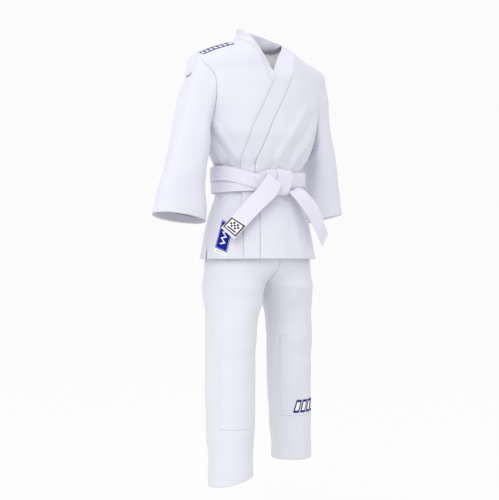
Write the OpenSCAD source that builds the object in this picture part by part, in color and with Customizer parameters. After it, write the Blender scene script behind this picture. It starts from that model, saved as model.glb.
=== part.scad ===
// Martial arts uniform: wrap jacket, tied belt and loose trousers, standing
// in the shape of a wearer. Millimetres, +Z up, the wearer faces -Y and the
// wearer's left is +X. The origin is on the body axis at neck-base height.

/* [Jacket] */
// Hem level below the neck base
jacket_len = 590; // [520:5:680]
// Half the width from shoulder tip to shoulder tip
shoulder_half = 210; // [180:1:250]
// Fall of the shoulder line from neck base to tip
shoulder_drop = 58; // [30:1:90]
// Half-width of the chest at the armpit
chest_half = 176; // [150:1:220]
// Half-width of the jacket under the belt
waist_half = 124; // [105:1:150]
// Half-width of the skirt at the hem
hem_half = 170; // [150:1:210]
// Half-depth of the chest
chest_depth = 114; // [90:1:140]
// Half-depth under the belt
waist_depth = 92; // [75:1:115]
// Half-depth at the hem
hem_depth = 121; // [100:1:150]
// Armpit level below the neck base
armpit_drop = 250; // [200:1:300]
// Half-width of the neck opening at the shoulder line
neck_half = 78; // [60:1:95]
// Thickness of the woven cotton
cloth = 1.6; // [1:0.1:2.5]
// Thickness of the quilted lapel band
band = 3.2; // [2:0.1:5]
// Lift of the left side where it crosses the right
lap_lift = 4.8; // [4:0.1:8]

/* [Sleeves] */
// Level of the right cuff's outer corner
right_cuff_z = -478; // [-560:1:-380]
// Level of the left cuff's outer corner
left_cuff_z = -462; // [-560:1:-380]
// Half-depth of the sleeve at the armhole
armhole_depth = 62; // [45:1:80]
// Half-depth of the sleeve at the cuff
cuff_depth = 46; // [30:1:65]

/* [Belt] */
// Width of the belt
belt_w = 39; // [35:1:50]
// Thickness of the stitched belt
belt_t = 3; // [2:0.1:5]
// Distance of the inner wrap from the jacket's under layer
belt_off = 9.6; // [9:0.1:14]

/* [Trousers] */
// Level of the trouser hems
ankle_z = -1160; // [-1260:5:-1000]
// Level of the crotch seam
crotch_z = -664; // [-720:1:-620]
// Half-width of each trouser leg at the hem
leg_half = 56; // [48:1:85]
// Half-width of each trouser leg at the top
thigh_half = 77; // [65:1:95]
// Clearance between the seat and the turning legs
leg_gap = 2.7; // [2.2:0.1:4]

/* [Hidden] */
cotton = [0.94, 0.94, 0.98];
navy = [0.05, 0.12, 0.5];
seam = 0.3;
rows_w = [0, 6, 16, 32, 54, 80, 112, 150, 190, 225, 250, 285, 318, 345,
  382, 420, 455, 500, 545, jacket_len];

function mix(a, b, t) = a + (b - a) * t;
function ease(t) = let (c = max(0, min(1, t))) c * c * (3 - 2 * c);
function steps(a, b, n) = [for (i = [0:n]) mix(a, b, i / n)];

// Outline of the jacket at w millimetres down from the shoulder line.
function half_w(w) = lookup(w, [[0, shoulder_half * 1.167],
  [30, shoulder_half * 1.105], [60, chest_half + 42],
  [120, chest_half + 29], [190, chest_half + 14], [armpit_drop, chest_half],
  [285, 156], [318, 136], [343, waist_half], [422, waist_half],
  [455, 140], [500, 152], [jacket_len, hem_half]]);
function body_d(w) = lookup(w, [[70, 97], [120, 106], [190, chest_depth],
  [armpit_drop, chest_depth], [285, 105], [318, 97], [343, waist_depth],
  [422, waist_depth], [455, 102], [500, 110], [jacket_len, hem_depth]]);
function round_off(w) = w >= 70 ? 1 : sqrt(1 - pow(1 - w / 70, 2));
function half_d(w) = 0.2 + body_d(w) * round_off(w);
function ridge(x) = let (k = abs(x) / neck_half)
  k < 1 ? 10 * (1 - k * k)
  : -shoulder_drop * (abs(x) - neck_half) / (shoulder_half - neck_half);

// Point of the jacket: t degrees round from centre front, w down.
function jacket(t, w) = let (x = half_w(w) * sin(t))
  [x, -half_d(w) * cos(t),
   -w + ridge(x) * (1 - ease(w / armpit_drop))];

// Angle where the armhole cuts the front; the back mirrors it.
function arm_t(w) = w >= armpit_drop ? 90
  : let (c = 1 - 2 * w / armpit_drop, y = armhole_depth * sqrt(1 - c * c))
    w < 1 ? 59 : acos(min(0.999, y / half_d(w)));

// Seam and free edge of the left lapel; the right one mirrors them.
function seam_t(w) = lookup(w, [[0, 18.6], [32, 17.1], [54, 14.7],
  [98, 11.3], [150, 3.3], [211, -7.5], [288, -20], [345, -31],
  [420, -30], [480, -25], [jacket_len, -24]]);
function free_t(w) = seam_t(w) - lookup(w, [[98, 13.8], [211, 14.8],
  [288, 16.5], [345, 18], [420, 18], [jacket_len, 15]]);
function lift(t, w) = lap_lift * ease((w - 30) / 50)
  * (1 - ease((t + free_t(w) - 3) / 32));
function lap_side(w) = 90 - 6 * ease((w - 545) / 45);

// Unit normal of a grid of points, rows by columns.
function wrap(j, m, shut) = shut ? (j + m) % m : max(0, min(m - 1, j));
function unit(v) = v / max(1e-6, norm(v));
function normal(g, i, j, shut) =
  let (n = len(g), m = len(g[0]),
    a = g[min(i + 1, n - 1)][j] - g[max(i - 1, 0)][j],
    b = g[i][wrap(j + 1, m, shut)] - g[i][wrap(j - 1, m, shut)])
  unit(cross(a, b));
function pushed(g, off, shut) =
  [for (i = [0:len(g) - 1]) [for (j = [0:len(g[0]) - 1])
    g[i][j] + (is_num(off) ? off : off[i][j]) * normal(g, i, j, shut)]];

// A closed solid between two grids of the same size.
module skin(lo, hi, shut = false) {
  n = len(lo);
  m = len(lo[0]);
  k = n * m;
  c = shut ? m : m - 1;
  pts = concat([for (r = lo) each r], [for (r = hi) each r]);
  quads = concat(
    [for (i = [0:n - 2]) for (j = [0:c - 1]) let (q = (j + 1) % m)
      [i * m + j, i * m + q, i * m + m + q, i * m + m + j]],
    [for (i = [0:n - 2]) for (j = [0:c - 1]) let (q = (j + 1) % m)
      [k + i * m + j, k + i * m + m + j, k + i * m + m + q, k + i * m + q]],
    [for (j = [0:c - 1]) let (q = (j + 1) % m) [j, k + j, k + q, q]],
    [for (j = [0:c - 1]) let (q = (j + 1) % m, s = (n - 1) * m)
      [s + j, s + q, k + s + q, k + s + j]],
    shut ? [] : [for (i = [0:n - 2])
      [i * m, i * m + m, k + i * m + m, k + i * m]],
    shut ? [] : [for (i = [0:n - 2]) let (s = m - 1)
      [i * m + s, k + i * m + s, k + i * m + m + s, i * m + m + s]]);
  tris = [for (f = quads) each [[f[0], f[1], f[2]], [f[0], f[2], f[3]]]];
  polyhedron(points = pts, faces = tris, convexity = 8);
}

// Cloth of thickness th standing off the grid g by off.
module cloth_on(g, off, th, shut = false) {
  hi = is_num(off) ? off + th : [for (r = off) [for (v = r) v + th]];
  skin(pushed(g, off, shut), pushed(g, hi, shut), shut);
}

function flip(g) = [for (r = g) [for (j = [len(r) - 1:-1:0]) r[j]]];
function mirrored(g) = flip([for (r = g) [for (p = r) [-p.x, p.y, p.z]]]);
function grid(ts, ws) = [for (w = ws) [for (t = ts) jacket(t, w)]];

/* Jacket ------------------------------------------------------------- */
module left_front_panel() color(cotton) {
  ts = [for (w = rows_w) steps(seam_t(w) + seam, w < 540
    ? arm_t(w) - seam : lap_side(w) - seam, 9)];
  g = [for (i = [0:len(rows_w) - 1]) [for (t = ts[i])
    jacket(t, rows_w[i])]];
  off = [for (i = [0:len(rows_w) - 1]) [for (t = ts[i])
    lift(t, rows_w[i])]];
  cloth_on(g, off, cloth);
}

module right_front_panel() color(cotton) {
  g = [for (w = rows_w) [for (t = steps(seam_t(w) + seam, w < 540
    ? arm_t(w) - seam : lap_side(w) - seam, 9)) jacket(t, w)]];
  cloth_on(mirrored(g), 0, cloth);
}

// Neckline of the back, measured down from the shoulder line.
function nape(t) = let (k = half_w(10) * sin(t) / neck_half)
  16 * sqrt(max(0, 1 - k * k));
function back_side(w) = w >= armpit_drop
  ? 90 + 3 * ease((w - 545) / 45) : arm_t(w);
function back_grid(a, b, n) = [for (q = [0:len(rows_w) - 1])
  [for (f = steps(a, b, n)) let (w0 = rows_w[q], t = f * (back_side(w0)
    - seam), w = max(w0, nape(t) * (1 - q / 60))) jacket(180 - t,
    w + (w0 < 16 && nape(t) > w0 ? q * 0.8 : 0))]];

module back_panel_left() color(cotton)
  cloth_on(flip(back_grid(0.004, 1, 10)), 0, cloth);

module back_panel_right() color(cotton)
  cloth_on(mirrored(flip(back_grid(0.004, 1, 10))), 0, cloth);

// Lapel and collar: rows run from the hem up the front, round the neck
// base to centre back; columns run from the outer seam to the free edge.
neck_s = [0.12, 0.26, 0.4, 0.54, 0.68, 0.84, 0.997];
function seam_path(s) = s < 0.54
  ? let (w = 98 * (1 - s / 0.54)) jacket(seam_t(w), w)
  : let (f = (s - 0.54) / 0.46, t = 180 - 18.6 * (1 - f))
    jacket(t, nape(180 - t));
function curve(s, xs, ys, zs) = [lookup(s, xs), lookup(s, ys),
  lookup(s, zs)];
function left_edge(s) = curve(s,
  [[0, -8], [0.25, 22], [0.5, 50], [0.68, 64], [0.84, 48], [1, 0]],
  [[0, -92], [0.25, -80], [0.5, -48], [0.68, -6], [0.84, 34], [1, 57]],
  [[0, -99], [0.25, -55], [0.5, -8], [0.68, 24], [0.84, 37], [1, 45]]);
function right_edge(s) = curve(s,
  [[0, 10], [0.25, 30], [0.5, 49], [0.68, 59], [0.84, 46], [1, 0]],
  [[0, -92], [0.25, -78], [0.5, -44], [0.68, 0], [0.84, 36], [1, 57]],
  [[0, -97], [0.25, -48], [0.5, 6], [0.68, 34], [0.84, 42], [1, 45]]);
low_w = [jacket_len, 545, 500, 455, 420, 382, 345, 318, 285, 250, 225,
  190, 150, 112, 99];
function strip_low() = [for (w = low_w)
  [for (f = [0:3]) jacket(mix(seam_t(w) - seam, free_t(w), f / 3), w)]];
function strip_up(left) = [for (s = neck_s) [for (f = [0:3])
  let (e = left ? left_edge(s) : right_edge(s), c = seam_path(s),
    n = unit(cross(e - c, [0, 0, 1])))
  mix(mix(c, e, 0.04), e, f / 3)]];

module left_collar_band() color(cotton) {
  g = concat(strip_low(), strip_up(true));
  off = [for (i = [0:len(g) - 1]) let (k = i - len(low_w))
    [for (j = [0:3]) k < 0 ? lap_lift : lap_lift * max(0, 1 - k / 4)
      + (k >= 0 ? 0.4 : 0)]];
  cloth_on(g, off, band);
}

module right_collar_band() color(cotton)
  cloth_on(mirrored(concat(strip_low(), strip_up(false))),
    [for (i = [0:len(low_w) + len(neck_s) - 1]) [for (j = [0:3])
      i < len(low_w) ? 0 : 0.4]], band);

module yoke_lining() color(cotton) {
  ws = [30, 54, 80, 112, 135];
  cloth_on(flip([for (w = ws) [for (t = steps(-46, 46, 12))
    jacket(180 - t, w)]]), -3.4, 1.2);
}

module vent_patch(s) {
  g = grid(steps(70, 86, 3), [500, 520, 545, 552]);
  cloth_on(s > 0 ? g : mirrored(g), -3.4, 1.2);
}
module left_vent_patch() color(cotton) vent_patch(1);
module right_vent_patch() color(cotton) vent_patch(-1);

facing_w = [561, 575, jacket_len - 1];
module left_front_hem_facing() color(cotton)
  cloth_on(grid(steps(37, 80, 8), facing_w), -3.4, 1.2);
module right_front_hem_facing() color(cotton)
  cloth_on(mirrored(grid(steps(46, 80, 7), facing_w)), -3.4, 1.2);
module back_hem_facing() color(cotton)
  cloth_on(flip([for (w = facing_w) [for (t = steps(-84, 84, 20))
    jacket(180 - t, w)]]), -3.4, 1.2);

// Slanted bars in place of a printed mark, right shoulder.
module shoulder_mark() color(navy) {
  for (i = [0:4])
    cloth_on(mirrored(grid([23.5 + i * 5.6, 27.2 + i * 5.6], [3, 8])),
      cloth + 0.25, 0.4);
}

// Woven label on the right of the skirt, tilted with its stitching.
function tag(u, v) = let (t = -63.2 + 8.6 * u - 2.6 * v,
  w = 536 + 42 * v + 8 * u) jacket(t, w);
module skirt_label() color(navy)
  cloth_on([for (v = [-0.95, -0.3, 0.3, 0.72]) [for (u = [-0.9, 0, 0.9])
    tag(u, v)]], cloth + 1.1, 0.6);
module skirt_label_tab() color([0.95, 0.95, 0.97])
  cloth_on([for (v = [0.76, 0.99]) [for (u = [-0.9, 0, 0.9])
    tag(u, v)]], cloth + 1.1, 0.5);

/* Sleeves ------------------------------------------------------------ */
// p goes round the sleeve from the top, s runs from armhole to cuff.
function armhole(p, g) = let (c = cos(p),
  w = armpit_drop * (1 - c) / 2, t = sin(p) >= 0 ? arm_t(w) : 180 - arm_t(w))
  jacket(t, w) + [g, 0, 0];
function cuff(p, o, i, y) = let (c = cos(p))
  [mix(i[0], o[0], (1 + c) / 2), y - cuff_depth * sin(p),
   mix(i[1], o[1], (1 + c) / 2)];
function sleeve_pt(p, s, o, i, y) = mix(armhole(p, 1.4 + 1.9 * (1 - cos(p))), cuff(p, o, i, y),
  s) + [15 * (1 + cos(p)) / 2 * sin(180 * min(1, 2.1 * s)), 0, 0];
function sleeve_grid(ss, o, i, y) = [for (s = ss)
  [for (k = [0:23]) sleeve_pt(k * 15 + 0.001, s, o, i, y)]];
right_out = [352, right_cuff_z];
right_in = [206, right_cuff_z - 20];
left_out = [334, left_cuff_z];
left_in = [196, left_cuff_z - 24];
sleeve_s = [0, 0.04, 0.1, 0.2, 0.35, 0.55, 0.78, 1];

module left_sleeve() color(cotton)
  cloth_on(flip(sleeve_grid(sleeve_s, left_out, left_in, 38)), 0, cloth, true);
module right_sleeve() color(cotton)
  cloth_on(flip(mirrored(flip(sleeve_grid(sleeve_s, right_out, right_in,
    -42)))), -cloth, cloth, true);
module left_cuff_facing() color(cotton)
  cloth_on(flip(sleeve_grid([0.91, 0.95, 0.995], left_out, left_in, 38)),
    -2.2, 1.2, true);
module right_cuff_facing() color(cotton)
  cloth_on(flip(mirrored(flip(sleeve_grid([0.91, 0.95, 0.995], right_out,
    right_in, -42)))), 1, 1.2, true);
module sleeve_mark() color(navy) {
  g = [for (s = [0.11, 0.135, 0.16, 0.185]) let (b = 26 - abs(s - 0.147) * 500)
    [for (p = [b, b + 3]) sleeve_pt(p, s, right_out, right_in, -42)]];
  cloth_on(flip(mirrored(flip(g))), -cloth - 3.2, 0.4);
}

/* Belt --------------------------------------------------------------- */
function waist(t, off, w) = [(waist_half + off) * sin(t),
  -(waist_depth + off) * cos(t), -w];
function belt_ring(off, w0, dip) = [for (w = [w0, w0 + belt_w / 2,
  w0 + belt_w]) [for (k = [0:47]) let (t = k * 7.5,
  d = dip * ease(1 - abs(t - 360) / 70) + dip * ease(1 - t / 60))
  waist(t, off, w + d)]];
module belt_inner_wrap() color(cotton)
  cloth_on(belt_ring(belt_off, 378, 0), 0, belt_t, true);
module belt_outer_wrap() color(cotton)
  cloth_on(belt_ring(belt_off + belt_t + 0.5, 345, 9), 0, belt_t, true);

knot_off = belt_off + 2 * belt_t + 1.2;
module knot_under_fold() color(cotton)
  cloth_on([for (v = [0:4]) [for (u = [0:4])
    waist(mix(-20 + v * 1.5, 14 - v * 1.2, u / 4),
      knot_off + 1.5 * sin(45 * v), mix(364, 424, v / 4) + u)]], 0, 4);
module knot_front_wrap() color(cotton)
  cloth_on([for (v = [0:4]) [for (u = [0:8])
    waist(mix(-25 + v * 3, 29, u / 8), knot_off + 6.2
      + 5 * sin(22.5 * u), mix(362, 388, u / 8) + (v - 2)
      * mix(11, 9, u / 8) + 5)]], 0, 5);

function ribbon(a, b, c, d, sag, n) = [for (i = [0:n])
  let (f = i / n, lo = mix(a, c, f), hi = mix(b, d, f),
    o = sag * sin(180 * f) * [0, -1, 0])
  [lo + o, mix(lo, hi, 0.5) + o * 1.12, hi + o]];
right_end = ribbon([-64, -124, -405], [-31, -131, -425],
  [-163, -72, -508], [-142, -101, -539], 7, 7);
left_end = ribbon([22, -134, -427], [66, -130, -407],
  [129, -118, -554], [154, -113, -521], 6, 7);
module right_belt_end() color(cotton) cloth_on(right_end, 0, belt_t);
module left_belt_end() color(cotton)
  cloth_on(left_end, 0, belt_t);
module belt_end_label() color([0.1, 0.1, 0.12])
  cloth_on([for (i = [5.55, 6.1, 6.65]) let (a = right_end[floor(i)],
    b = right_end[ceil(i)], f = i - floor(i)) [for (k = [0.06, 0.5, 0.94])
    mix(mix(a[0], a[2], k), mix(b[0], b[2], k), f)]], belt_t + 1.3, 0.5);

/* Trousers ----------------------------------------------------------- */
// f runs from centre front (0) by the side (90) to centre back (180).
function seat_a(z) = lookup(-z, [[400, 110], [430, 114], [460, 127],
  [500, 140], [590, 158], [664, 162]]);
function seat_b(z) = lookup(-z, [[400, 82], [430, 84], [460, 90],
  [500, 98], [590, 109], [664, 112]]);
function top_ring(f, e) = [82 - (thigh_half + e) * cos(2 * f),
  -(102 + e) * sin(2 * f)];
function seat_pt(f, z, m) = let (r = top_ring(f, 0))
  [mix(seat_a(z) * sin(f) + 0.2, r.x, m), mix(-seat_b(z) * cos(f), r.y, m),
   z];
seat_rows = [[-402, 0], [-425, 0], [-460, 0], [-500, 0], [-550, 0],
  [-590, 0.02], [-612, 0.12], [-630, 0.3], [-646, 0.56], [-656, 0.8],
  [crotch_z, 0.97]];
function seat_grid(rs) = [for (r = rs) [for (f = steps(0, 180, 20))
  seat_pt(f, r[0], r[1])]];
module left_hip_panel() color(cotton)
  cloth_on(seat_grid(seat_rows), 0, cloth);
module right_hip_panel() color(cotton)
  cloth_on(mirrored(seat_grid(seat_rows)), 0, cloth);
module waist_ring(off, th, z0, z1, a0) {
  g = [for (z = [z0, (z0 + z1) / 2, z1]) [for (k = [0:35])
    [(a0 + off) * sin(k * 10), -(a0 - 28 + off) * cos(k * 10), z]]];
  cloth_on(g, 0, th, true);
}
module waistband_casing() color(cotton)
  waist_ring(-2.6, 1.4, -442, -403.5, 110);
module waist_elastic() color([0.85, 0.85, 0.88])
  waist_ring(-4.8, 1.6, -437, -409, 110);

// Leg rings: q goes round from the inner seam by the front.
// Each line gives drop, sideways and fore-and-aft place of the leg's middle.
right_line = [[660, 82, 0], [700, 85, -6], [750, 95, -14], [860, 110.5, -31],
  [960, 121.5, -47], [1160, 139, -78]];
left_line = [[660, 82, 0], [690, 90, 1], [735, 103, 6], [780, 111, 11],
  [860, 120, 22], [960, 132, 37], [1160, 157, 62]];
function pick(line, z, k) = lookup(-z, [for (r = line) [r[0], r[k]]]);
function leg_axis(z, line) = [pick(line, z, 1), pick(line, z, 2)];
function leg_a(z) = lookup(-z, [[664, thigh_half + leg_gap], [700, 72],
  [750, 64], [860, 60], [960, 58.5], [-ankle_z, leg_half]]);
function leg_b(z) = lookup(-z, [[664, 102 + leg_gap], [700, 89], [750, 78],
  [860, 70], [960, 67], [-ankle_z, leg_half + 4]]);
function leg_pt(q, z, line, e) = let (c = leg_axis(z, line))
  [c.x - (leg_a(z) + e) * cos(q), c.y - (leg_b(z) + e) * sin(q), z];
leg_z = [crotch_z - 3, -690, -720, -750, -800, -860, -960, -1060, ankle_z];
function leg_grid(zs, line, e, n) = [for (z = zs)
  [for (k = [0:n - 1]) leg_pt(k * 360 / n, z, line, e)]];
module left_leg() color(cotton)
  cloth_on(leg_grid(leg_z, left_line, 0, 28), 0, cloth, true);
module right_leg() color(cotton)
  cloth_on(mirrored(leg_grid(leg_z, right_line, 0, 28)), 0, cloth, true);

module knee_patch(line, left) {
  g = [for (z = [-800, -860, -910, -960, -1010]) [for (q = steps(28, 152, 9))
    leg_pt(q, z, line, 0)]];
  cloth_on(left ? g : mirrored(g), cloth + 0.9, 1.2);
}
module left_knee_patch() color(cotton) knee_patch(left_line, true);
module right_knee_patch() color(cotton) knee_patch(right_line, false);
module left_leg_hem_facing() color(cotton)
  cloth_on(leg_grid([-1128, -1144, ankle_z + 1], left_line, 0, 28), -2.2,
    1.2, true);
module right_leg_hem_facing() color(cotton)
  cloth_on(mirrored(leg_grid([-1128, -1144, ankle_z + 1], right_line, 0, 28)),
    -2.2, 1.2, true);
// Slanted bars in place of a printed mark, left shin.
module leg_mark() color(navy)
  for (i = [0:3])
    cloth_on([for (z = [-1014, -1022, -1050]) [for (d = [0, 12])
      leg_pt(70 + i * 18 + d - (z + 1030) * 0.25, z, left_line, 0)]],
      cloth + 1.6, 0.4);

back_panel_right();
back_panel_left();
right_front_panel();
left_front_panel();
right_collar_band();
left_collar_band();
yoke_lining();
right_vent_patch();
left_vent_patch();
right_front_hem_facing();
left_front_hem_facing();
back_hem_facing();
shoulder_mark();
skirt_label();
skirt_label_tab();
right_sleeve();
right_cuff_facing();
sleeve_mark();
left_sleeve();
left_cuff_facing();
belt_inner_wrap();
belt_outer_wrap();
knot_under_fold();
knot_front_wrap();
right_belt_end();
belt_end_label();
left_belt_end();
right_hip_panel();
left_hip_panel();
waistband_casing();
waist_elastic();
right_leg();
right_knee_patch();
right_leg_hem_facing();
left_leg();
left_knee_patch();
left_leg_hem_facing();
leg_mark();
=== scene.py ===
import math

import bmesh
import bpy
import numpy as np
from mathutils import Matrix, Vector, noise


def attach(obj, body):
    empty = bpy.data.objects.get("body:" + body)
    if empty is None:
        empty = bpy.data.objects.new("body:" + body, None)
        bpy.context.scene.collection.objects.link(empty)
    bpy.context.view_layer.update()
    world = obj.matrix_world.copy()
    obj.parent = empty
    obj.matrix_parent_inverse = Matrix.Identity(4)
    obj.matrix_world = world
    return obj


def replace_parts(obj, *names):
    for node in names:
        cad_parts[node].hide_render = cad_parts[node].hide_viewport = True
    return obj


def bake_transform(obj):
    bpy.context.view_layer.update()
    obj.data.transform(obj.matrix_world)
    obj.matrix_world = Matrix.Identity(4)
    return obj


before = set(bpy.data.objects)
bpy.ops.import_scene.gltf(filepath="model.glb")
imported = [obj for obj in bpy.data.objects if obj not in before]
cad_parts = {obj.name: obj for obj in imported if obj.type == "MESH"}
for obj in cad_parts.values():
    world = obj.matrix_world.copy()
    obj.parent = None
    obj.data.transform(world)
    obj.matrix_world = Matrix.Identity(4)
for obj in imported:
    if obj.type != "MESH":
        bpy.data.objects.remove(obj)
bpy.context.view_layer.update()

MM = 0.001
ROOT = "jacket_belt_and_seat"

# ---------------------------------------------------------------- camera
AZ = math.radians(-34)
BACK = Vector((math.sin(AZ), -math.cos(AZ), 0))
cam = bpy.data.objects.new("camera", bpy.data.cameras.new("camera"))
bpy.context.scene.collection.objects.link(cam)
cam.location = BACK * 2.65 + Vector((0, 0, -0.590))
cam.rotation_euler = (-BACK).to_track_quat("-Z", "Y").to_euler()
cam.data.lens = 69.3
cam.data.sensor_width = 36
cam.data.shift_x = -0.017
cam.data.shift_y = 0.018
bpy.context.scene.camera = cam


# ---------------------------------------------------------------- helpers
def linear(code):
    """An sRGB hex colour as linear RGBA."""
    v = [int(code[i : i + 2], 16) / 255 for i in (0, 2, 4)]
    return [c / 12.92 if c <= 0.04045 else ((c + 0.055) / 1.055) ** 2.4 for c in v] + [1]


def ease(t):
    t = np.clip(t, 0, 1)
    return t * t * (3 - 2 * t)


def mix(a, b, t):
    return a + (b - a) * t


def curve(rows):
    """Monotone cubic through (x, y, ...) rows; y may have several parts."""
    rows = np.array(rows, float)
    x, y = rows[:, 0], rows[:, 1:]
    h = np.diff(x)[:, None]
    d = np.diff(y, axis=0) / h
    m = np.zeros_like(y)
    m[0], m[-1] = d[0], d[-1]
    same = d[:-1] * d[1:] > 0
    total = np.where(same, d[:-1] + d[1:], 1)
    m[1:-1] = np.where(same, 2 * d[:-1] * d[1:] / total, 0)

    def at(t):
        t = np.clip(np.asarray(t, float), x[0], x[-1])
        i = np.clip(np.searchsorted(x, t, side="right") - 1, 0, len(h) - 1)
        s = ((t - x[i]) / h[i, 0])[..., None]
        r = (
            (2 * s**3 - 3 * s**2 + 1) * y[i]
            + (s**3 - 2 * s**2 + s) * h[i] * m[i]
            + (3 * s**2 - 2 * s**3) * y[i + 1]
            + (s**3 - s**2) * h[i] * m[i + 1]
        )
        return r[..., 0] if y.shape[1] == 1 else r

    return at


def unit(v):
    return v / np.maximum(np.linalg.norm(v, axis=-1, keepdims=True), 1e-9)


def normals(p, shut=False):
    """Normals of a grid of points, rows by columns, by columns x rows."""
    if shut:
        q = np.concatenate([p[:, -2:-1], p, p[:, 1:2]], axis=1)
        a = np.gradient(q, axis=1)[:, 1:-1]
    else:
        a = np.gradient(p, axis=1)
    return unit(np.cross(np.gradient(p, axis=0), a))


def rough(p, size, amount, seed=0):
    """Smooth noise at the points, in millimetres."""
    flat = p.reshape(-1, 3)
    shift = Vector((seed * 7.1, seed * 3.3, seed * 5.7))
    v = [noise.noise(Vector(q) / size + shift) for q in flat]
    return np.array(v).reshape(p.shape[:-1]) * amount


def new_object(name, bm, mat):
    mesh = bpy.data.meshes.new(name)
    bm.to_mesh(mesh)
    bm.free()
    mesh.materials.append(mat)
    for poly in mesh.polygons:
        poly.use_smooth = True
    obj = bpy.data.objects.new(name, mesh)
    bpy.context.scene.collection.objects.link(obj)
    return obj


def grid_mesh(name, p, mat, shut=False, thick=0.0, about="axis", cap=False):
    """One piece of cloth from a grid of points in millimetres.

    p is rows by columns; a shut grid repeats its first column at its end.
    Faces are turned outwards, away from the body axis or the row centres.
    thick is cloth added on the inside.
    """
    n, m = p.shape[:2]
    bm = bmesh.new()
    bmesh.ops.create_grid(bm, x_segments=m - 1, y_segments=n - 1, size=1)
    uv = bm.loops.layers.uv.new("cloth")
    du = np.linalg.norm(np.diff(p, axis=1), axis=2)
    dv = np.linalg.norm(np.diff(p, axis=0), axis=2)
    u = np.concatenate([np.zeros((n, 1)), np.cumsum(du, axis=1)], axis=1)
    u = (u - u[:, m // 2 : m // 2 + 1]) * MM
    v = np.concatenate([np.zeros((1, m)), np.cumsum(dv, axis=0)], axis=0) * MM
    place = {}
    for vert in bm.verts:
        i = round((vert.co.y + 1) / 2 * (n - 1))
        j = round((vert.co.x + 1) / 2 * (m - 1))
        place[vert] = (i, j)
    for face in bm.faces:
        for loop in face.loops:
            loop[uv].uv = (u[place[loop.vert]], v[place[loop.vert]])
    for vert, (i, j) in place.items():
        vert.co = Vector(p[i, j]) * MM
    if shut:
        bmesh.ops.remove_doubles(bm, verts=bm.verts[:], dist=1e-6)
    if cap:
        rims = [e for e in bm.edges if e.is_boundary]
        bmesh.ops.holes_fill(bm, edges=rims, sides=0)
        bmesh.ops.recalc_face_normals(bm, faces=bm.faces[:])
        about = None
    bm.normal_update()
    if about:
        f = bm.faces[:]
        c = sum(
            (g.normal.dot(g.calc_center_median() - Vector(centre(p, g, about))))
            for g in f[:: max(1, len(f) // 400)]
        )
        if c < 0:
            bmesh.ops.reverse_faces(bm, faces=f)
    obj = new_object(name, bm, mat)
    if thick:
        mod = obj.modifiers.new("cloth", "SOLIDIFY")
        mod.thickness = thick * MM
        mod.offset = -1
        mod.use_even_offset = False
    return obj


def centre(p, face, about):
    z = face.calc_center_median().z
    if about == "rows":
        c = p.mean(axis=1) * MM
        i = int(np.argmin(abs(c[:, 2] - z)))
        return c[i]
    return (0, 0, z)


def area_of(p):
    a = p[1:, :-1] - p[:-1, :-1]
    b = p[:-1, 1:] - p[:-1, :-1]
    return float(np.linalg.norm(np.cross(a, b), axis=2).sum()) * MM * MM


def cloth(obj, p, body, twice=False):
    """Attach a piece to the empty of its body, or bake its place into its mesh when body is not
    a name; its cut width, height and area are worked out from the grid but not used.
    """
    w = float(np.linalg.norm(np.diff(p, axis=1), axis=2).sum(axis=1).max()) * MM
    h = float(np.linalg.norm(np.diff(p, axis=0), axis=2).sum(axis=0).max()) * MM
    a = area_of(p)
    if twice:
        w, a = w / 2, a / 2
    w, h = max(w, 0.0102), max(h, 0.0102)
    if isinstance(body, str):
        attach(obj, body)
    else:
        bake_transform(obj)
    return obj


# ---------------------------------------------------------------- materials
def node(tree, kind, at=(0, 0), **values):
    n = tree.nodes.new(kind)
    for key, value in values.items():
        if key in n.inputs:
            n.inputs[key].default_value = value
        else:
            setattr(n, key, value)
    return n


# Real threads are too fine to show, so the weave is drawn this much coarser
COARSER = 2 * math.pi
# Bands that a wave pattern of scale 1 has in a metre
BANDS = 20 / (2 * math.pi)


def fabric(name, code, pitch=0.9, depth=0.12, slub=0.5, rough_=0.92, sheen=0.12,
           mottling=0.02):
    """Woven cloth: threads cross over and under, with a real spacing of pitch mm."""
    mat = bpy.data.materials.new(name)
    mat.use_nodes = True
    t = mat.node_tree
    b = t.nodes["Principled BSDF"]
    b.inputs["Roughness"].default_value = rough_
    b.inputs["Specular IOR Level"].default_value = 0.2
    b.inputs["Sheen Weight"].default_value = sheen
    b.inputs["Sheen Roughness"].default_value = 0.6
    uv = node(t, "ShaderNodeUVMap", uv_map="cloth")
    waves = []
    for axis in ("X", "Y"):
        w = node(t, "ShaderNodeTexWave", wave_type="BANDS", bands_direction=axis)
        w.inputs["Scale"].default_value = 1000 / (pitch * COARSER) / BANDS
        w.inputs["Distortion"].default_value = slub
        w.inputs["Detail"].default_value = 1
        w.inputs["Detail Scale"].default_value = 0.5
        t.links.new(uv.outputs["UV"], w.inputs["Vector"])
        waves.append(w)
    top = node(t, "ShaderNodeMath", operation="MAXIMUM")
    t.links.new(waves[0].outputs["Fac"], top.inputs[0])
    t.links.new(waves[1].outputs["Fac"], top.inputs[1])
    bump = node(t, "ShaderNodeBump", Strength=0.35, Distance=depth * MM)
    t.links.new(top.outputs[0], bump.inputs["Height"])
    t.links.new(bump.outputs["Normal"], b.inputs["Normal"])
    # faint unevenness of the bleach
    place = node(t, "ShaderNodeTexCoord")
    spots = node(t, "ShaderNodeTexNoise", Scale=14.0, Detail=2.0)
    t.links.new(place.outputs["Object"], spots.inputs["Vector"])
    ramp = node(t, "ShaderNodeMixRGB")
    a = linear(code)
    ramp.inputs["Color1"].default_value = [c * (1 - mottling) for c in a[:3]] + [1]
    ramp.inputs["Color2"].default_value = [min(1, c * (1 + mottling)) for c in a[:3]] + [1]
    t.links.new(spots.outputs["Fac"], ramp.inputs["Fac"])
    t.links.new(ramp.outputs["Color"], b.inputs["Base Color"])
    return mat


# bleached cotton of the jacket and trousers, plain weave
COTTON = fabric("bleached_cotton", "D7D7E2")
# the trousers, a warmer white
TWILL = fabric("trouser_cotton", "D6D7DE")
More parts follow.
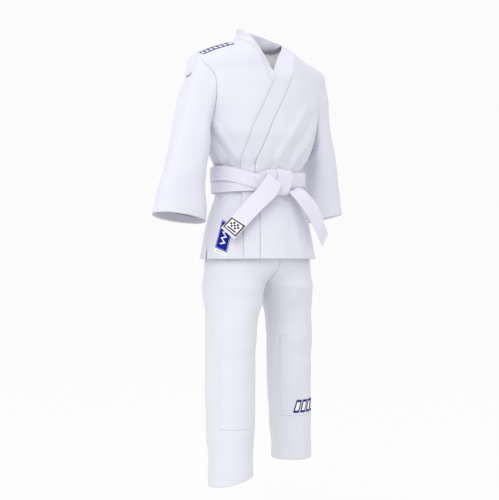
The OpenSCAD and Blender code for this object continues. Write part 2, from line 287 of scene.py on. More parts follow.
# the inside of the neck, painted whiter than the cotton: painted light standing in for light
# that reaches inside the neck
LINING_PAINTED_LIGHT = fabric("neck_lining_painted_light", "F4F3F6")
# the lapel band, the same cotton over a stiff core
BAND = fabric("quilted_cotton_band", "D6D6E1", pitch=0.9)
# the belt's heavier cotton
BELT = fabric("belt_cotton", "DAD8E4", pitch=1.1, depth=0.2)
# navy print on cloth
NAVY = fabric("navy_print", "16246E", pitch=0.9, depth=0.08, sheen=0.0)
# woven blue label
BLUE = fabric("blue_woven_label", "0E1F8B", pitch=0.6, depth=0.1, sheen=0.0)
# woven white label
WHITE = fabric("white_woven_label", "EDEDEE", pitch=0.6, depth=0.1)
# woven black label
BLACK = fabric("black_woven_label", "17181D", pitch=0.6, depth=0.1, sheen=0.0)
# knitted elastic in the waistband
ELASTIC = fabric("knitted_elastic", "D5D5DB", pitch=1.6, depth=0.3)

# ---------------------------------------------------------------- jacket form
ARMPIT = 250.0
half_w = curve([(0, 245), (30, 232), (60, 218), (120, 205), (190, 190),
                (250, 176), (285, 158), (318, 139), (343, 126), (382, 124),
                (422, 125), (455, 139), (500, 152), (590, 171)])
body_d = curve([(0, 97), (70, 97), (120, 106), (190, 114), (250, 114),
                (285, 106), (318, 98), (343, 92.5), (382, 92), (422, 92.5),
                (455, 101), (500, 110), (590, 121)])
seam_t = curve([(0, 18.6), (32, 17.1), (54, 14.7), (98, 11.3), (150, 3.3),
                (211, -7.5), (288, -20), (345, -31), (420, -30), (480, -25),
                (590, -24)])
lap_w = curve([(98, 13.8), (211, 14.8), (288, 16.5), (345, 18), (420, 18),
               (590, 15)])


def free_t(w):
    return seam_t(w) - lap_w(w)


def jacket(t, w):
    """Point of the bare form: t degrees round from centre front, w down."""
    t, w = np.broadcast_arrays(np.asarray(t, float), np.asarray(w, float))
    r = np.radians(t)
    x = half_w(w) * np.sin(r)
    round_off = np.sqrt(np.clip(1 - (1 - np.clip(w, 0, 70) / 70) ** 2, 0, 1))
    y = -(0.2 + body_d(w) * round_off) * np.cos(r)
    k = abs(x) / 78
    rise = np.where(k < 1, 10 * (1 - k * k), -58 * (abs(x) - 78) / 132)
    rise = rise + np.where(x < 0, 7 * np.exp(-(((abs(x) - 165) / 60) ** 2)),
                           -12 * np.exp(-(((x - 105) / 55) ** 2)))
    z = -w + rise * (1 - ease(w / ARMPIT))
    return np.stack([x, y, z], axis=-1)


def crease(t, w, a, b, high, wide):
    """A soft fold from a to b, both (degrees, millimetres down)."""
    s = np.radians(t) * 150
    a = (math.radians(a[0]) * 150, a[1])
    b = (math.radians(b[0]) * 150, b[1])
    dx, dy = b[0] - a[0], b[1] - a[1]
    size = math.hypot(dx, dy)
    f = ((s - a[0]) * dx + (w - a[1]) * dy) / size**2
    d = ((s - a[0]) * dy - (w - a[1]) * dx) / size
    along = np.clip(1 - (2 * f - 1) ** 4, 0, 1) * (f > 0) * (f < 1)
    return high * np.exp(-((d / wide) ** 2)) * along


FOLDS = [
    ((-8, 345), (30, 160), 3.0, 11), ((9, 342), (42, 175), -2.4, 10),
    ((22, 342), (54, 185), 3.0, 10), ((38, 342), (64, 225), -2.2, 9),
    ((50, 345), (76, 262), 3.0, 9), ((-78, 342), (-84, 262), 2.4, 8),
    ((-60, 342), (-80, 235), -2.4, 10), ((-48, 344), (-74, 200), 2.2, 10),
    ((-46, 70), (-58, 200), 1.6, 16), ((46, 70), (56, 190), -1.6, 14),
    ((-38, 425), (-52, 588), 2.2, 15), ((12, 425), (22, 588), 2.4, 16),
    ((42, 425), (54, 588), -2.2, 14), ((-70, 425), (-78, 588), 2.0, 14),
    ((140, 342), (118, 220), 3.2, 12), ((165, 342), (150, 180), -2.4, 13),
    ((196, 342), (208, 190), 3.0, 13), ((222, 342), (244, 225), -2.6, 12),
    ((150, 425), (142, 588), 3.0, 16), ((180, 425), (181, 588), -2.4, 16),
    ((214, 425), (222, 588), 3.0, 16),
]


def folds(t, w):
    tt = (np.asarray(t) + 180) % 360 - 180
    h = np.zeros(np.broadcast(t, w).shape)
    for a, b, high, wide in FOLDS:
        u = tt if max(abs(a[0]), abs(b[0])) < 100 else np.asarray(t) % 360
        h = h + crease(u, w, a, b, high, wide)
    # gathers held by the belt, above and below it
    h = h * 1.4
    r = np.radians(t)
    near = np.exp(-np.clip(338 - w, 0, None) / 26) * (w < 345)
    low = np.exp(-np.clip(w - 424, 0, None) / 34) * (w > 418)
    h = h + near * (1.5 * np.sin(17 * r + 0.7) + 1.0 * np.sin(29 * r + 2))
    h = h + low * (1.3 * np.sin(15 * r + 2.1) + 0.8 * np.sin(26 * r))
    return h


def J(t, w, off=0.0):
    """Point of the jacket with its folds, off millimetres outside it."""
    t, w = np.broadcast_arrays(np.asarray(t, float), np.asarray(w, float))
    p = jacket(t, w)
    a = jacket(t + 0.05, w) - jacket(t - 0.05, w)
    b = jacket(t, w + 0.05) - jacket(t, np.maximum(w - 0.05, 0))
    n = unit(np.cross(b, a))
    calm = ease(w / 40)
    h = folds(t, w) * calm + rough(p, 46, 1.5) * calm
    return p + n * (off + h)[..., None]


def arm_t(w):
    """Angle where the armhole cuts the front; the back mirrors it."""
    w = np.asarray(w, float)
    c = 1 - 2 * np.clip(w, 0, ARMPIT) / ARMPIT
    y = 60 * np.sqrt(np.clip(1 - c * c, 0, 1))
    round_off = np.sqrt(np.clip(1 - (1 - np.clip(w, 0, 70) / 70) ** 2, 0, 1))
    d = 0.2 + body_d(w) * round_off
    t = np.degrees(np.arccos(np.clip(y / d, 0, 0.999)))
    t = np.where(w < 1.0, mix(62.5, t, np.clip(w, 0, 1)), t) - 9 * np.exp(-w / 18)
    return np.where(w >= ARMPIT, 90.0, t)


def lift(t, w):
    """How far the left side stands off where it crosses the right."""
    return 3.6 * ease((w - 30) / 50) * (1 - ease((t + free_t(w) - 3) / 32))


ROWS = np.concatenate([
    70 * (1 - np.cos(np.linspace(0, math.pi / 2, 15))),
    np.linspace(70, 590, 131)[1:],
])


def side_t(w, lap=6.0):
    return np.where(w < ARMPIT, arm_t(w), 90 - lap * ease((w - 545) / 45))


def groove(x, at, deep=0.5, wide=0.9):
    return -deep * np.exp(-(((x - at) / wide) ** 2))


def mirror(p):
    return (p * [-1, 1, 1])[:, ::-1]


def front(left):
    w = ROWS[:, None]
    u = np.linspace(0, 1, 73)[None, :]
    t = mix(seam_t(w), side_t(w), u)
    off = 1.6 + (lift(t, w) if left else 0 * t)
    off = off + groove(w, 566) + groove(w, 571) + 0 * t
    if left:
        off = off - 1.6 * np.exp(-(((t - seam_t(w)) / 1.3) ** 2)) * ease((w - 70) / 60)
    sign = 1 if left else -1
    p = J(sign * t, w + 0 * t, off)
    return p if left else p[:, ::-1]


left_front = front(True)
right_front = front(False)
obj = grid_mesh("jacket_left_front", left_front, COTTON, thick=1.6)
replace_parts(cloth(obj, left_front, ROOT), "left_front_panel")
obj = grid_mesh("jacket_right_front", right_front, COTTON, thick=1.6)
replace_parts(cloth(obj, right_front, ROOT), "right_front_panel")


def nape(t):
    k = 242 * np.sin(np.radians(t)) / 78
    return 16 * np.sqrt(np.clip(1 - k * k, 0, 1))


def back(sign):
    v = np.linspace(0, 1, len(ROWS))[:, None]
    u = np.linspace(0, 1, 73)[None, :]
    w = ROWS[:, None]
    side = np.where(w < ARMPIT, arm_t(w), 90 + 3 * ease((w - 545) / 45))
    t = u * side
    top = nape(t)
    w2 = top + (590 - top) * ((w / 590))
    w2 = mix(w2, w + 0 * t, ease(w / 120))
    p = J(180 - sign * t, w2, 1.6 + groove(w2, 566) + groove(w2, 571)
          - 0.8 * np.exp(-((t / 1.0) ** 2)))
    return p


for sign, side in ((1, "left"), (-1, "right")):
    p = back(sign)
    obj = grid_mesh(f"jacket_{side}_back", p, COTTON, thick=1.6)
    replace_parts(cloth(obj, p, ROOT), f"back_panel_{side}")

# ---------------------------------------------------------------- lapel band
left_edge = curve([(0, -14, -90, -99), (0.12, -3, -82, -78), (0.25, 13, -69, -55),
                   (0.42, 38, -56, -20), (0.52, 47, -46, -6), (0.68, 60, -14, 7),
                   (0.84, 50, 30, 27), (1, 0, 57, 45)])
right_edge = curve([(0, 10, -92, -97), (0.25, 30, -78, -50), (0.5, 49, -44, 6),
                    (0.68, 58, 0, 36), (0.84, 46, 36, 43), (1, 0, 57, 45)])


def band_base(left, q):
    """The band's middle surface, rows from hem to centre back."""
    low = np.linspace(589.5, 99, 190)
    t = mix(seam_t(low)[:, None], free_t(low)[:, None], q[None, :])
    sign = 1 if left else -1
    lap = 3.6 + 1.6 if left else 1.6
    a = J(sign * t, low[:, None] + 0 * t, lap + 0 * t)
    s = np.linspace(0, 1, 64)[1:]
    w = 98 * (1 - np.clip(s / 0.54, 0, 1))
    f = np.clip((s - 0.54) / 0.46, 0, 1)
    tn = np.where(s < 0.54, seam_t(w), 180 - 18.6 * (1 - f))
    wn = np.where(s < 0.54, w, nape(180 - tn))
    c = J(sign * tn, wn, 1.6 + 3.6 * (1 - ease(s * 4)) * left + 0 * tn)
    e = (left_edge if left else right_edge)(s) * [sign, 1, 1]
    b = c[:, None, :] + (e - c)[:, None, :] * q[None, :, None]
    g = np.concatenate([a, b])
    # round off the change from chest to collar
    for _ in range(10):
        k = slice(180, 215)
        part = g[k]
        part[1:-1] = (part[:-2] + 2 * part[1:-1] + part[2:]) / 4
        g[k] = part
    return g


def closed_strip(g, half, rows, edge=0.03, deep=0.35, n=60):
    """A rounded strip about the surface g, with stitched rows in it."""
    q = np.linspace(edge, 1 - edge, n)
    dip = np.zeros(n)
    for r in rows:
        dip += deep * np.exp(-(((q - r) / 0.009) ** 2))
    arc = np.radians([60, 30, 0, -30, -60])
    qa = 1 - edge + edge * np.cos(arc)
    qs = np.concatenate([q, qa, q[::-1], 1 - qa, q[:1]])
    os_ = np.concatenate([half - dip, half * np.sin(arc), -(half - dip[::-1]),
                          -half * np.sin(arc), (half - dip)[:1]])
    m = g.shape[1]
    x = np.clip(qs, 0, 1) * (m - 1)
    i = np.clip(x.astype(int), 0, m - 2)
    f = (x - i)[None, :, None]
    nrm = normals(g)
    p = g[:, i] * (1 - f) + g[:, i + 1] * f
    k = unit(nrm[:, i] * (1 - f) + nrm[:, i + 1] * f)
    return p + k * os_[None, :, None]


Q = np.linspace(0, 1, 25)
STITCHES = (0.06, 0.2, 0.34, 0.48, 0.62, 0.76, 0.9)
for left, side in ((True, "left"), (False, "right")):
    g = band_base(left, Q)
    p = closed_strip(g, 1.3, STITCHES, n=64)
    obj = grid_mesh(f"lapel_band_{side}", p, BAND, shut=True, cap=True)
    cloth(obj, g, ROOT)
    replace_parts(obj, f"{side}_collar_band")

# ---------------------------------------------------------------- linings
def patch(name, t0, t1, w0, w1, off, mat, node_name, thick=1.2, n=30, m=24, body=ROOT):
    t = np.linspace(t0, t1, m)[None, :]
    w = np.linspace(w0, w1, n)[:, None]
    p = J(t + 0 * w, w + 0 * t, off + 0 * (t + w))
    obj = grid_mesh(name, p, mat, thick=thick)
    cloth(obj, p, body)
    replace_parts(obj, node_name)


# the yoke's lining falls straight from the collar, then meets the back
f = np.linspace(-0.66, 0.66, 121)
g = np.abs(f)
tn = np.where(g > 0.62, 18.6, 18.6 * g / 0.62)
wn = np.where(g > 0.62, 60 * (g - 0.62) / 0.38, nape(tn))
ring = np.where((g > 0.62)[:, None], J(np.sign(f) * 18.2, wn, 1.6 + 0 * f),
                J(180 - np.sign(f) * tn, wn, 1.6 + 0 * f))
ring = ring * [0.965, 0.965, 1]
ring[:, 2] += 16 * ease((0.68 - g) / 0.25)
foot = J(180 - 48 * f, 135 + 0 * f, -2.6 + 0 * f)
knee = ring * [1.02, 1.02, 1] - [0, 0, 78]
v = np.linspace(0, 1, 50)[:, None, None]
p = ring * (1 - v) ** 2 + 2 * knee * v * (1 - v) + foot * v**2
# the lining's whiter colour is painted light on the inside of the neck
obj = grid_mesh("yoke_lining_inside", p, LINING_PAINTED_LIGHT, thick=0.0)
obj.modifiers.new("cloth", "SOLIDIFY").thickness = 1.0 * MM
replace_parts(cloth(obj, p, ROOT), "yoke_lining")
patch("left_vent_patch_inside", 70, 86, 500, 552, -0.4, COTTON, "left_vent_patch")
patch("right_vent_patch_inside", -86, -70, 500, 552, -0.4, COTTON, "right_vent_patch")
patch("left_front_hem", 37, 80, 562, 589.4, -0.4, COTTON, "left_front_hem_facing", m=60)
patch("right_front_hem", -80, -46, 562, 589.4, -0.4, COTTON, "right_front_hem_facing", m=50)
patch("back_hem", 94, 266, 562, 589.4, -0.4, COTTON, "back_hem_facing", m=150)

# ---------------------------------------------------------------- sleeves
def armhole(psi, off, sign):
    c = np.cos(psi)
    w = ARMPIT * (1 - c) / 2
    t = np.where(np.sin(psi) >= 0, arm_t(w), 180 - arm_t(w))
    return J(sign * t, w, off + 0 * t) * [sign, 1, 1]


def sleeve(out, inn, y, rows=110, cols=97, s0=0.0, s1=1.0, off=1.6, sign=1):
    """Outer face of a sleeve as if on the left: rows from armhole to cuff."""
    psi = np.linspace(0, 2 * math.pi, cols)
    s = np.linspace(s0, s1, rows)[:, None, None]
    top = armhole(psi, off, sign)[None]
    c = ((1 + np.cos(psi)) / 2)[None, :, None]
    out, inn = np.array([out[0], 0, out[1]]), np.array([inn[0], 0, inn[1]])
    end = mix(inn, out, c) + np.stack(
        [0 * psi, y - 46 * np.sin(psi), 7 * np.sin(psi)], axis=-1)[None]
    p = mix(top, end, s)
    bulge = 2 * np.sin(np.pi * np.clip(2.1 * s, 0, 1)) * c
    p = p + bulge * np.array([1, 0, 0])
    # crosswise folds from the armpit and a softer one at the elbow
    ang = (psi[None, :] - math.pi)
    inner = np.exp(-(ang / 0.9) ** 2)
    k = s[..., 0]
    h = inner * 2.6 * np.sin(k * 34 + ang * 1.8) * np.exp(-k * 4.2) * ease(k / 0.05)
    h = h + 2.2 * np.sin(k * 9 + psi[None, :] * 2) * ease(k / 0.2) * ease((1 - k) / 0.15)
    h = h + rough(p, 60, 4.5, 2) * ease(s[..., 0] / 0.12)
    d = s[..., 0] * 400
    h = h + groove(d, 372) + groove(d, 377) - 0.3 * np.exp(-(d / 3) ** 2)
    n = normals(p, True)
    sign = np.sign((n * (p - p.mean(axis=1, keepdims=True))).sum())
    p = p + n * h[..., None] * sign
    p[:, 0] = p[:, -1] = (p[:, 0] + p[:, -1]) / 2
    return p


for side, out, inn, y in (("left", (316, -462), (194, -486), 38),
                          ("right", (347, -474), (200, -496), -42)):
    x = 1 if side == "left" else -1
    p = sleeve(out, inn, y, sign=x)
    f = sleeve(out, inn, y, rows=12, s0=0.93, s1=0.997, off=1.6, sign=x)
    f = f + unit(f.mean(axis=1, keepdims=True) - f) * 2.0
    if side == "right":
        p, f = mirror(p), mirror(f)
    bend = (ROOT, f"{side}_sleeve_body", (x * 0.196, 0, -0.245), (x * 0.250, 0, -0.435))
    obj = grid_mesh(f"sleeve_{side}", p, COTTON, shut=True, thick=1.6, about="rows")
    cloth(obj, p, bend)
    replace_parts(obj, f"{side}_sleeve")
    obj = grid_mesh(f"cuff_facing_inside_{side}", f, COTTON, shut=True, thick=1.2, about="rows")
    cloth(obj, f, f"{side}_sleeve_body")
    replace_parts(obj, f"{side}_cuff_facing")

# ---------------------------------------------------------------- belt
def strip(name, g, half=1.5, n=72, rows=9, deep=0.42, ring=False, mat=None):
    """A stitched strip about the surface g: rows along it, columns across."""
    p = closed_strip(g, half, [0.06 + 0.88 * i / (rows - 1) for i in range(rows)],
                     n=n, deep=deep)
    if ring:
        p[-1] = p[0]
    obj = grid_mesh(name, p, mat or BELT, shut=True, about=None, cap=not ring)
    if ring:
        bm = bmesh.new()
        bm.from_mesh(obj.data)
        bmesh.ops.remove_doubles(bm, verts=bm.verts[:], dist=1e-6)
        bmesh.ops.recalc_face_normals(bm, faces=bm.faces[:])
        bm.to_mesh(obj.data)
        bm.free()
    return obj


def waist(t, off, w):
    """Point about the belt's own oval, off millimetres outside the cloth."""
    t, off, w = np.broadcast_arrays(*[np.asarray(v, float) for v in (t, off, w)])
    r = np.radians(t)
    return np.stack([(124 + off) * np.sin(r), -(92 + off) * np.cos(r), -w], axis=-1)


def turn(name, node_name, off, tops, wide=39):
    """One turn of the belt; tops is its upper edge level round the waist."""
    t = np.linspace(-180, 180, 289)
    top = curve(tops)(t)
    w = top[:, None] + wide * Q[None, :]
    slack = 0.9 * np.sin(np.radians(t) * 5 + off) + 0.5 * np.sin(np.radians(t) * 11)
    g = waist(t[:, None], off + slack[:, None], w)
    obj = strip(name, g, ring=True)
    cloth(obj, g, ROOT)
    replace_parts(obj, node_name)


turn("belt_lower_turn", "belt_inner_wrap", 11.2,
     [(-180, 366), (-105, 374), (-40, 372), (0, 364), (56, 359), (120, 362), (180, 366)])
turn("belt_upper_turn", "belt_outer_wrap", 15.4,
     [(-180, 346), (-110, 343), (-76, 343), (-55, 349), (-38, 360), (-24, 367),
      (0, 364), (20, 358), (56, 353), (110, 350), (180, 346)])


def ribbon(left, right, n=70, twist=0.0):
    """A surface between two edge curves given as rows of (x, y, z)."""
    k = np.linspace(0, 1, len(left))
    f = np.linspace(0, 1, n)
    a = curve([(v, *q) for v, q in zip(k, left)])(f)
    b = curve([(v, *q) for v, q in zip(k, right)])(f)
    g = a[:, None] + (b - a)[:, None] * Q[None, :, None]
    bow = np.sin(np.pi * Q)[None, :, None] * twist
    return g + normals(g) * bow


def on_waist(rows):
    return [tuple(waist(t, off, w)) for t, w, off in rows]


# the part of the knot that slants up from the left and tucks in
g = ribbon(on_waist([(-33, 372, 17.5), (-22, 359, 20.5), (-10, 353, 21.5), (2, 356, 20.5)]),
           on_waist([(-24, 397, 18.0), (-15, 393, 21.0), (-6, 392, 21.5), (4, 392, 20.5)]), 60)
obj = strip("knot_slanting_fold", g, rows=8)
cloth(obj, g, ROOT)
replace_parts(obj, "knot_under_fold")
# the part that goes over both turns
g = ribbon(on_waist([(-4, 350, 14.5), (-5.5, 352, 21), (-5.5, 368, 25.5), (-7.5, 392, 26),
                     (-9, 412, 24), (-8, 420, 17), (-7, 416, 12.5)]),
           on_waist([(12, 355, 15.5), (13, 357, 21), (14, 371, 24.5), (12, 392, 25),
                     (9, 410, 23.5), (8, 418, 17), (8, 414, 12.5)]), 90)
obj = strip("knot_over_wrap", g)
cloth(obj, g, ROOT)
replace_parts(obj, "knot_front_wrap")

TAILS = {}
for side, a, b in (
    ("right",
     [(-47, -110, -362), (-54, -121, -370), (-72, -116, -398),
      (-104, -101, -436), (-140, -82, -481), (-163, -70, -509)],
     [(-9, -116, -390), (-14, -129, -397), (-31, -131, -424),
      (-70, -124, -460), (-113, -112, -506), (-141, -99, -540)]),
    ("left",
     [(61, -103, -397), (74, -113, -404), (90, -120, -421),
      (112, -121, -444), (136, -121, -492), (154, -114, -522)],
     [(24, -110, -410), (28, -122, -420), (40, -133, -440),
      (66, -134, -470), (100, -132, -519), (130, -121, -556)]),
):
    g = ribbon(a, b, 120, twist=1.2)
    g = g + normals(g) * (0.8 * np.sin(np.linspace(0, 7, 120)))[:, None, None]
    TAILS[side] = g
    obj = strip(f"belt_end_{side}", g, n=80)
    x = 1 if side == "left" else -1
    top = g[:20].reshape(-1, 3).mean(axis=0) * MM
    low = g[45:50].reshape(-1, 3).mean(axis=0) * MM
    cloth(obj, g, (ROOT, f"{side}_belt_end_body", tuple(top), tuple(low)))
    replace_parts(obj, f"{side}_belt_end")


def on_grid(g, f, k, off):
    """Point on a grid at f down it and k across, off outside."""
    n, m = g.shape[:2]
    nn = normals(g)
    f, k = np.broadcast_arrays(np.asarray(f, float), np.asarray(k, float))
    i, j = np.clip(f, 0, 1) * (n - 1), np.clip(k, 0, 1) * (m - 1)
    i0, j0 = np.clip(i.astype(int), 0, n - 2), np.clip(j.astype(int), 0, m - 2)
    u, v = (i - i0)[..., None], (j - j0)[..., None]

    def at(a):
        return mix(mix(a[i0, j0], a[i0, j0 + 1], v), mix(a[i0 + 1, j0], a[i0 + 1, j0 + 1], v), u)

    return at(g) + at(nn) * off


def woven(name, at, u, v, off, mats, pick, nu, nv, skew=0.0, thick=0.35):
    """A small flat piece; pick gives each face its material from u and v."""
    vv = np.linspace(v[0], v[1], nv)[:, None]
    uu = np.linspace(u[0], u[1], nu)[None, :]
    p = at(uu + skew * (vv - v[0]), vv + 0 * uu, off)
    obj = grid_mesh(name, p, mats[0], thick=thick)
    for m in mats[1:]:
        obj.data.materials.append(m)
    k = 0
    for j in range(nv - 1):
        for i in range(nu - 1):
            a = mix(u[0], u[1], (i + 0.5) / (nu - 1))
            b = mix(v[0], v[1], (j + 0.5) / (nv - 1))
            obj.data.polygons[k].material_index = pick(a, b)
            k += 1
    return obj, p


def group(objs, name):
    """Join the separate bars of one print into one object."""
    bpy.ops.object.select_all(action="DESELECT")
    for o in objs:
        bpy.context.view_layer.objects.active = o
        for m in list(o.modifiers):
            bpy.ops.object.modifier_apply(modifier=m.name)
        o.select_set(True)
    bpy.context.view_layer.objects.active = objs[0]
    if len(objs) > 1:
        bpy.ops.object.join()
    objs[0].name = name
    return objs[0]


# label near the tip of the right belt end: white, black edge, small checks
def tail_at(u, v, off):
    return on_grid(TAILS["right"], v, u, off)


sgn = 1 if float(normals(TAILS["right"])[60, 12, 1]) < 0 else -1


def checker(u, v):
    """0 white, 1 black: a black edge and a small block of checks."""
    if u < 0.12 or u > 0.88 or v < 0.813 or v > 0.952:
        return 1
    if 0.2 < u < 0.8 and 0.824 < v < 0.902:
        return (int((u - 0.2) / 0.12) + int((v - 0.824) / 0.026)) % 2
    return 2 if 0.2 < u < 0.8 and 0.916 < v < 0.936 else 0


obj, g = woven("belt_end_label_woven", tail_at, (0.05, 0.95), (0.80, 0.965), 1.9 * sgn,
               [WHITE, BLACK, BLUE], checker, 60, 84, thick=0.5)
cloth(obj, g, "right_belt_end_body")
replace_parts(obj, "belt_end_label")

# ---------------------------------------------------------------- trousers
seat_a = curve([(400, 110), (430, 114), (460, 127), (500, 140), (590, 155), (664, 156)])
seat_b = curve([(400, 82), (430, 84), (460, 90), (500, 98), (590, 109), (664, 112)])
join = curve([(585, 0), (612, 0.12), (630, 0.3), (646, 0.56), (657, 0.82), (668, 1)])
# drop, half width, half depth, sideways and fore-and-aft place of each leg
LEG = {
    "right": curve([(660, 79, 103, 80, 0), (700, 72, 90, 84, -6), (750, 65.5, 82, 95, -14),
                    (860, 60, 70, 110.5, -31), (960, 59, 67, 121.5, -47),
                    (1160, 56, 60, 139, -78)]),
    "left": curve([(660, 79, 103, 80, 0), (690, 70, 88, 90, 1), (735, 60.5, 73, 103, 6),
                   (780, 59, 71, 111, 11), (860, 59.5, 70, 120, 22), (960, 58, 67, 132, 37),
                   (1160, 54.5, 59, 157, 62)]),
}


def trouser(side, f, d, off):
    """f: 0 centre front, 90 side, 180 centre back; d: millimetres down."""
    f, d = np.broadcast_arrays(np.asarray(f, float), np.asarray(d, float))
    def bare(f, d):
        a, b, cx, cy = np.moveaxis(LEG[side](np.clip(d, 660, 1160)), -1, 0)
        r = np.radians(f)
        out, fore = -a * np.cos(2 * r), -b * np.sin(2 * r)
        drop = -d
        if side == "right":  # its hem hangs longer on the outside
            tip = 14 * (-0.829 * out - 0.559 * fore) - 6 * (0.559 * out - 0.829 * fore)
            drop = drop + ease((d - 1030) / 130) * (tip / 61 - 3)
        shut = np.stack([cx + out, cy + fore, drop], -1)
        flat = np.stack([seat_a(d) * np.sin(r) + 0.2, -seat_b(d) * np.cos(r), -d], -1)
        return mix(flat, shut, join(d)[..., None])

    p = bare(f, d)
    a = bare(f + 0.2, d) - bare(f - 0.2, d)
    b = bare(f, d + 0.5) - bare(f, d - 0.5)
    n = unit(np.cross(b, a))
    r = np.radians(2 * f)
    k = ease((d - 600) / 60)
    seam = np.exp(-(np.sin(r / 2) / 0.02) ** 2)
    h = 1.6 * np.exp(-((d - 700) / 60) ** 2) * np.cos(r) * np.sin(d / 16 + r * 1.5)
    for c, tall, high, at in ((800, 26, 2.2, 0.9), (868, 22, -2.6, 2.4), (905, 20, 2.4, 4.6),
                              (1050, 26, 2.2, 1.7), (1090, 22, -1.8, 3.6), (960, 30, 1.8, 5.6)):
        lean = d - c - 22 * np.sin(r - at)
        h = h + high * np.exp(-((lean / tall) ** 2)) * (0.5 + 0.5 * np.cos(r - at))
    h = h + 2.2 * np.sin(2 * r + 0.6) * ease((d - 760) / 120) * ease((1150 - d) / 220)
    h = h * k + rough(p, 70, 3.0, 5 if side == "left" else 9) * k
    h = h - 0.9 * seam * k + groove(d, 1134) + groove(d, 1139)
    h = h - 1.0 * np.exp(-(((f - 90) / 0.9) ** 2)) * k
    return p + n * (off + h)[..., None]


D = np.concatenate([np.linspace(402, 585, 34), np.linspace(585, 700, 60)[1:],
                    np.linspace(700, 1160, 150)[1:]])
F = np.linspace(0, 180, 121)
for side in ("left", "right"):
    x = 1 if side == "left" else -1
    p = trouser(side, F[None, :], D[:, None], 1.6)
    n = len(D)
    p[D >= 668, -1] = p[D >= 668, 0]
    if side == "right":
        p = mirror(p)
    bend = (ROOT, f"{side}_leg_body", (x * 0.09, 0, -0.640), (x * 0.10, 0, -0.790))
    obj = grid_mesh(f"trousers_{side}", p, TWILL, shut=True, thick=1.6, about="rows")
    cloth(obj, p, bend)
    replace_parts(obj, f"{side}_leg", f"{side}_hip_panel")

    d = np.linspace(800, 1030, 60)[:, None]
    f = np.linspace(14, 76, 50)[None, :]
    rim = np.minimum(np.minimum((d - 800), (1030 - d)), 1.2 * np.minimum(f - 14, 76 - f))
    p = trouser(side, f + 0 * d, d + 0 * f,
                1.65 + 0.5 * ease(rim / 4.0) - 0.3 * np.exp(-((rim - 6) / 1.0) ** 2))
    p = mirror(p) if side == "right" else p
    obj = grid_mesh(f"knee_patch_{side}_sewn", p, TWILL, thick=1.0, about=None)
    bm = bmesh.new()
    bm.from_mesh(obj.data)
    bm.faces.ensure_lookup_table()
    if bm.faces[len(bm.faces) // 2].normal.y > 0:
        bmesh.ops.reverse_faces(bm, faces=bm.faces[:])
        bm.to_mesh(obj.data)
    bm.free()
    cloth(obj, p, f"{side}_leg_body")
    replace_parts(obj, f"{side}_knee_patch")

    p = trouser(side, F[None, :], np.linspace(1130, 1159.5, 10)[:, None], -0.8)
    p[:, -1] = p[:, 0]
    p = mirror(p) if side == "right" else p
    obj = grid_mesh(f"hem_facing_inside_{side}", p, TWILL, shut=True, thick=1.0, about="rows")
    cloth(obj, p, f"{side}_leg_body")
    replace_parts(obj, f"{side}_leg_hem_facing")

k = np.radians(np.linspace(0, 360, 181))
for name, node_name, off, d0, d1, mat in (
    ("waistband_inside", "waistband_casing", -1.2, 403.5, 442, COTTON),
    ("elastic_inside", "waist_elastic", -3.2, 409, 437, ELASTIC),
):
    d = np.linspace(d0, d1, 24)[:, None]
    pleat = 0.7 * np.sin(40 * k)[None, :]
    p = np.stack([(110 + off + pleat) * np.sin(k)[None, :] + 0 * d,
                  -(82 + off + pleat) * np.cos(k)[None, :] + 0 * d, -d + 0 * k[None, :]], -1)
    obj = grid_mesh(name, p, mat, shut=True, thick=1.0)
    cloth(obj, p, ROOT)
    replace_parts(obj, node_name)

# ---------------------------------------------------------------- labels and marks
def skirt_at(u, v, off):
    t = -63.2 + 8.6 * u - 2.6 * v
    return J(t, 536 + 42 * v + 8 * u, off + 0 * t)


def zigzag(u, v):
    """0 blue, 1 white: a fine white edge line and a zigzag up the middle."""
    if (0.80 < abs(u) < 0.84 and -0.94 < v < 0.68) or (
            abs(u) < 0.84 and (-0.94 < v < -0.925 or 0.665 < v < 0.68)):
        return 1
    wave = abs(((v + 0.5) / 0.36) % 1 - 0.5) * 2 - 0.5
    return int(-0.55 < v < 0.4 and abs(u - 0.6 * wave) < 0.16)


obj, g = woven("skirt_label_woven", skirt_at, (-0.9, 0.9), (-0.98, 0.72), 2.5,
               [BLUE, WHITE], zigzag, 110, 150)
cloth(obj, g, ROOT)
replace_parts(obj, "skirt_label")
obj, g = woven("skirt_label_white_tab", skirt_at, (-0.9, 0.9), (0.74, 0.99), 2.3, [WHITE, BLUE],
               lambda u, v: int(0.84 < v < 0.89 and abs(u) < 0.7 and (u / 0.2) % 1 < 0.5),
               60, 16)
cloth(obj, g, ROOT)
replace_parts(obj, "skirt_label_tab")


def bars(name, at, count, u0, step, wide, v, rim, off, skew, body, node_name):
    """Slanted bars with a navy outline and a white middle."""
    def outline(u, v_):
        return int(rim[0] < u - left < wide - rim[0] and v[0] + rim[1] < v_ < v[1] - rim[1])

    bits = []
    for i in range(count):
        left = u0 + i * step
        bits.append(woven(name, at, (left, left + wide), v, off, [NAVY, WHITE], outline,
                          20, 24, skew, 0.25))
    g = np.concatenate([b[1] for b in bits], axis=0)
    obj = group([b[0] for b in bits], name)
    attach(obj, body)
    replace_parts(obj, node_name)


def shoulder_at(u, v, off):
    return J(-u, v, off + 0 * u)


bars("shoulder_print", shoulder_at, 7, 27.4, 3.9, 3.45, (2.5, 12), (0.75, 2.2), 2.0, -0.1,
     ROOT, "shoulder_mark")


def shin_at(u, v, off):
    return trouser("left", u, v, off + 0 * u)


bars("shin_print", shin_at, 4, 35, 9.2, 7.4, (984, 1020), (1.6, 6), 3.0, -0.14,
     "left_leg_body", "leg_mark")

# small ring of print on the right upper sleeve
RIGHT = sleeve((347, -474), (200, -496), -42, sign=-1)


def ring_at(u, v, off):
    return mirror(on_grid(RIGHT, 0.128 + 0.022 * v * np.sin(u),
                          (0.99 + 0.03 * v * np.cos(u)) % 1, off))


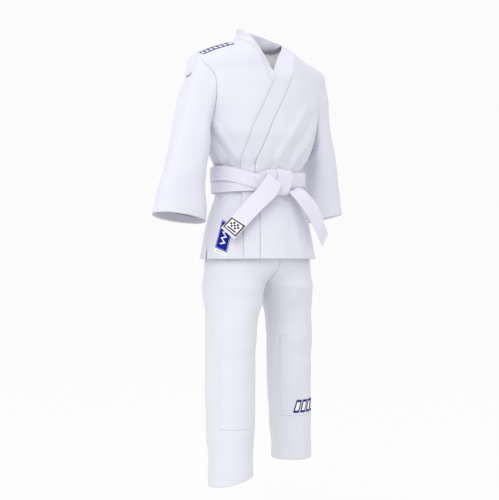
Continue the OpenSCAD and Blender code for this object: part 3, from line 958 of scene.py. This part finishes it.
facing = float((normals(RIGHT, True)[14, 8] * (RIGHT[14, 8] - RIGHT[14].mean(axis=0))).sum())
bits = [woven("ring", ring_at, (math.radians(i * 12 + 8), math.radians(i * 12 + 19)),
              (0.72, 1.0), 0.6 * (1 if facing > 0 else -1), [NAVY],
              lambda u, v: 0, 6, 5, thick=0.25)
        for i in range(13)]
obj = group([b[0] for b in bits], "sleeve_print_ring")
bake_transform(obj)
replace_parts(obj, "sleeve_mark")

# ---------------------------------------------------------------- studio
def plain(name, code, rough_=0.9):
    mat = bpy.data.materials.new(name)
    mat.use_nodes = True
    b = mat.node_tree.nodes["Principled BSDF"]
    b.inputs["Base Color"].default_value = linear(code)
    b.inputs["Roughness"].default_value = rough_
    b.inputs["Specular IOR Level"].default_value = 0.0
    return mat


bm = bmesh.new()
bmesh.ops.create_grid(bm, x_segments=1, y_segments=1, size=40)
floor = new_object("floor", bm, plain("pale_floor", "F4F4F4"))
floor.location = (0, 0, -1.9)


def lamp(name, watts, size, az, high, far, at=(0, 0, -0.35)):
    """A soft square lamp looking at the uniform."""
    light = bpy.data.lights.new(name, "AREA")
    light.energy, light.size = watts, size
    obj = bpy.data.objects.new(name, light)
    bpy.context.scene.collection.objects.link(obj)
    az, high = math.radians(az), math.radians(high)
    way = Vector((math.sin(az) * math.cos(high), -math.cos(az) * math.cos(high), math.sin(high)))
    obj.location = Vector(at) + way * far
    obj.rotation_euler = way.to_track_quat("Z", "Y").to_euler()


lamp("key", 10, 1.4, -46, 32, 2.4, at=(0, 0, -0.15))
sun = bpy.data.objects.new("window", bpy.data.lights.new("window", "SUN"))
bpy.context.scene.collection.objects.link(sun)
sun.data.energy = 0.65
sun.data.angle = math.radians(50)
sun.rotation_euler = (math.radians(58), 0, math.radians(-56))

world = bpy.data.worlds.new("studio")
bpy.context.scene.world = world
world.use_nodes = True
sky = world.node_tree.nodes["Background"]
sky.inputs["Color"].default_value = (0.965, 0.965, 0.965, 1)
sky.inputs["Strength"].default_value = 1.0
bpy.context.scene.view_settings.view_transform = "Standard"
